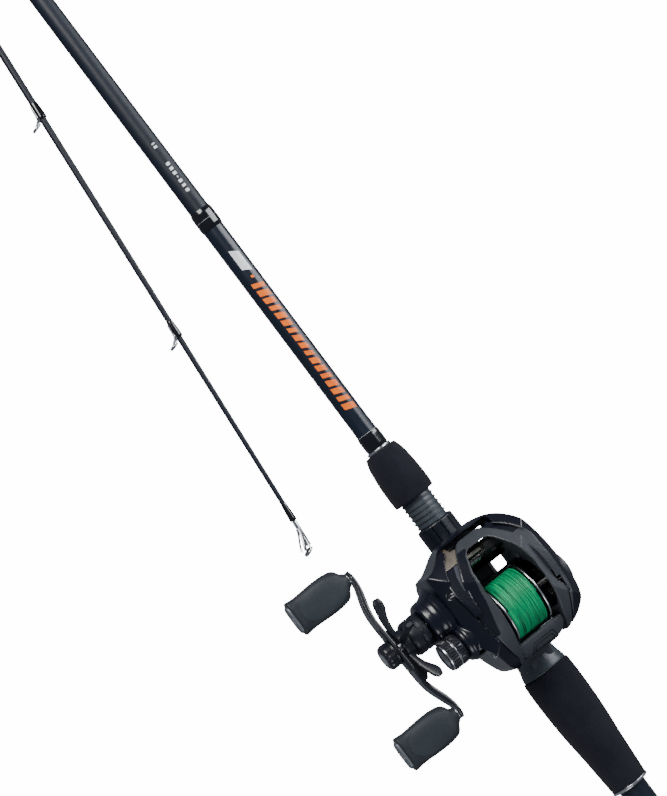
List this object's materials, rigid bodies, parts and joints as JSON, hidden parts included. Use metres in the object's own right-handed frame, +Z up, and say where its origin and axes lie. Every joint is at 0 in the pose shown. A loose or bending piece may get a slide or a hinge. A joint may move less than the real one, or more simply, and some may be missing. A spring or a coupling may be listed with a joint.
{
  "type": "fishing rod and reel",
  "caption": "Two-piece casting rod lying apart, with a low-profile level-wind reel clamped in its seat and a double-paddle handle on the left.",
  "frame": {"origin": "on the butt section's axis, directly under the spool's axis, where the hand closes round the reel seat", "axes": "+X along the butt section towards the tip, +Y to the side with the handle, +Z up from the rod through the reel"},
  "size_m": [1.729, 0.153, 0.0749],
  "materials": {
    "blank": "matte dark slate composite, gloss black near the handle",
    "eva": "matte fine-celled foam",
    "ring_silver": "polished trim",
    "seat": "satin moulded, dark grey",
    "nut": "satin moulded, near black",
    "wrap": "epoxy-coated thread",
    "guide_frame": "bright plated wire",
    "guide_ring": "dark ceramic",
    "reel_black": "gloss black lacquer",
    "reel_satin": "satin dark grey",
    "knob": "matte slate, soft-touch",
    "knob_end": "satin grey",
    "handle_black": "anodised satin black",
    "steel": "turned and polished",
    "spool_alloy": "anodised with bright rims",
    "line": "braided line, green",
    "gear_brass": "cut teeth",
    "gear_plastic": "natural nylon",
    "drag": "woven carbon friction washers"
  },
  "bodies": {
    "rod": {"butt_blank": "blank", "butt_cap": "eva", "rear_grip": "eva", "mid_grip": "eva", "foregrip": "eva", "trim_rings": "ring_silver", "reel_seat": "seat", "thread_wraps": "wrap", "butt_guide_frames": "guide_frame", "butt_guide_rings": "guide_ring", "reel_frame": "reel_satin", "gear_side_plate": "reel_black", "palm_plate": "reel_black", "side_plate_screws": "steel", "guide_rod": "steel", "worm_shield": "reel_satin", "spool_bearings": "steel", "anti_reverse_bearing": "steel", "yoke_posts": "steel", "yoke_springs": "steel", "magnet_holder": "reel_satin", "brake_magnets": "steel"},
    "seat_hood": {"seat_hood": "nut"},
    "seat_nut": {"seat_nut": "nut"},
    "spool": {"spool": "spool_alloy", "spool_shaft": "steel", "braided_line": "line"},
    "clutch": {"clutch_yoke": "steel"},
    "pinion": {"pinion_gear": "gear_brass"},
    "thumb_bar": {"thumb_bar": "reel_satin", "clutch_plate": "steel"},
    "crank": {"drive_shaft": "steel", "main_gear": "gear_brass", "drag_washers": "drag", "ratchet_wheel": "steel", "level_wind_drive_gear": "gear_plastic", "bearing_sleeve": "steel", "handle_arm": "handle_black", "handle_nut": "handle_black", "knob_posts": "steel"},
    "worm": {"worm_shaft": "steel", "worm_gear": "gear_plastic"},
    "line_guide": {"line_guide_carriage": "reel_satin", "line_eyelet": "guide_ring", "level_wind_pawl": "gear_brass"},
    "star": {"star_drag": "handle_black"},
    "knob_front": {"knob_front": "knob", "knob_cap_front": "knob_end"},
    "knob_rear": {"knob_rear": "knob", "knob_cap_rear": "knob_end"},
    "tension_knob": {"tension_knob": "handle_black"},
    "brake_dial": {"brake_dial": "reel_satin"},
    "tip_section": {"tip_blank": "blank", "tip_wraps": "wrap", "tip_guide_frames": "guide_frame", "tip_guide_rings": "guide_ring", "tip_top": "guide_frame", "tip_top_ring": "guide_ring"}
  },
  "joints": [
    {"name": "handle_turn", "type": "hinge", "parent": "rod", "child": "crank", "pos_m": [0.0176, 0.05, 0.02], "axis": [0, 1, 0], "continuous": true},
    {"name": "spool_spin", "type": "hinge", "parent": "rod", "child": "spool", "pos_m": [0, 0, 0.03], "axis": [0, 1, 0], "continuous": true},
    {"name": "pinion_spin", "type": "hinge", "parent": "clutch", "child": "pinion", "pos_m": [0, 0.022, 0.03], "axis": [0, 1, 0], "continuous": true},
    {"name": "worm_spin", "type": "hinge", "parent": "rod", "child": "worm", "pos_m": [0.0293, 0, 0.02108], "axis": [0, 1, 0], "continuous": true},
    {"name": "star_turn", "type": "hinge", "parent": "crank", "child": "star", "pos_m": [0.0176, 0.05, 0.02], "axis": [0, 1, 0], "range_deg": [-180, 180]},
    {"name": "knob_front_spin", "type": "hinge", "parent": "crank", "child": "knob_front", "pos_m": [0.06086, 0.075, 0.01315], "axis": [0, 1, 0], "continuous": true},
    {"name": "knob_rear_spin", "type": "hinge", "parent": "crank", "child": "knob_rear", "pos_m": [-0.02566, 0.075, 0.02685], "axis": [0, 1, 0], "continuous": true},
    {"name": "thumb_bar_press", "type": "slide", "parent": "rod", "child": "thumb_bar", "axis": [-0.3489, 0, -0.9371], "range_m": [0, 0.0042]},
    {"name": "clutch_slide", "type": "slide", "parent": "rod", "child": "clutch", "axis": [0, 1, 0], "range_m": [0, 0.0014]},
    {"name": "line_guide_travel", "type": "slide", "parent": "rod", "child": "line_guide", "axis": [0, 1, 0], "range_m": [-0.002, 0.016]},
    {"name": "tension_knob_turn", "type": "hinge", "parent": "rod", "child": "tension_knob", "pos_m": [0, 0.042, 0.03], "axis": [0, 1, 0], "range_deg": [-360, 360]},
    {"name": "brake_dial_turn", "type": "hinge", "parent": "rod", "child": "brake_dial", "pos_m": [0, -0.031, 0.03], "axis": [0, 1, 0], "range_deg": [0, 300]},
    {"name": "seat_nut_turn", "type": "hinge", "parent": "seat_hood", "child": "seat_nut", "pos_m": [0.05, 0, 0], "axis": [1, 0, 0], "range_deg": [0, 1620]},
    {"name": "seat_hood_slide", "type": "slide", "parent": "rod", "child": "seat_hood", "axis": [1, 0, 0], "range_m": [0, 0.0136]},
    {"name": "tip_section_slide", "type": "slide", "parent": "rod", "child": "tip_section", "axis": [0.9961, -0.088, 0], "range_m": [0, 0.85]}
  ],
  "couplings": [
    {"joint": "spool_spin", "follows": "handle_turn", "ratio": -6.3636},
    {"joint": "pinion_spin", "follows": "handle_turn", "ratio": -6.3636},
    {"joint": "worm_spin", "follows": "handle_turn", "ratio": -1.7647},
    {"joint": "clutch_slide", "follows": "thumb_bar_press", "ratio": 0.33333},
    {"joint": "seat_hood_slide", "follows": "seat_nut_turn", "m_per_rad": 0.00047746}
  ]
}
